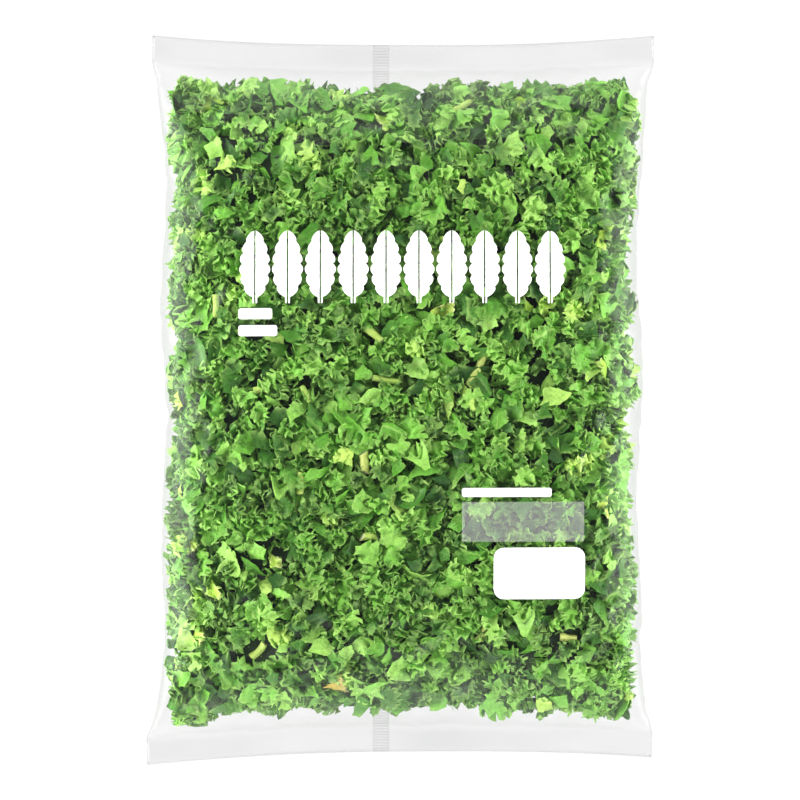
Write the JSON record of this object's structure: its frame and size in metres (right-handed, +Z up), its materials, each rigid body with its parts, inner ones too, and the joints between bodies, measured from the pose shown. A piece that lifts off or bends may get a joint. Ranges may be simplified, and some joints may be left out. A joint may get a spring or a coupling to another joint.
{
  "type": "bag of cut kale",
  "caption": "Clear film pillow bag with flat end seals and a lapped back seam, filled with a pressed heap of cut curly kale leaf and pale stem pieces.",
  "frame": {"origin": "on the surface under the middle of the bag, as it lies on its back", "axes": "+X across the bag to the right, +Y along it to the top end seal, +Z up out of its printed front"},
  "size_m": [0.2538, 0.365, 0.0586],
  "materials": {
    "clear_film": "clear thin film, glossy, faintly hazy",
    "kale_leaf": "fresh cut leaf, matt with a waxy sheen",
    "pale_leaf": "fresh young yellow-green leaf, matt with a waxy sheen",
    "stem": "pale moist stem, cut across"
  },
  "bodies": {
    "root": {"bag_film": "clear_film", "cut_leaf_heap": "kale_leaf", "pale_leaf_01": "pale_leaf", "pale_leaf_02": "pale_leaf", "pale_leaf_03": "pale_leaf", "pale_leaf_04": "pale_leaf", "pale_leaf_05": "pale_leaf", "pale_leaf_06": "pale_leaf", "pale_leaf_07": "pale_leaf", "pale_leaf_08": "pale_leaf", "pale_leaf_09": "pale_leaf", "pale_leaf_10": "pale_leaf", "pale_leaf_11": "pale_leaf", "pale_leaf_12": "pale_leaf", "pale_leaf_13": "pale_leaf", "pale_leaf_14": "pale_leaf", "pale_leaf_15": "pale_leaf", "pale_leaf_16": "pale_leaf", "pale_leaf_17": "pale_leaf", "pale_leaf_18": "pale_leaf", "pale_leaf_19": "pale_leaf", "pale_leaf_20": "pale_leaf", "stem_piece_01": "stem", "stem_piece_02": "stem", "stem_piece_03": "stem", "stem_piece_04": "stem", "stem_piece_05": "stem", "stem_piece_06": "stem", "stem_piece_07": "stem", "stem_piece_08": "stem", "stem_piece_09": "stem", "stem_piece_10": "stem", "stem_piece_11": "stem", "stem_piece_12": "stem", "stem_piece_13": "stem", "stem_piece_14": "stem", "stem_piece_15": "stem", "stem_piece_16": "stem", "stem_piece_17": "stem", "stem_piece_18": "stem"}
  },
  "joints": []
}
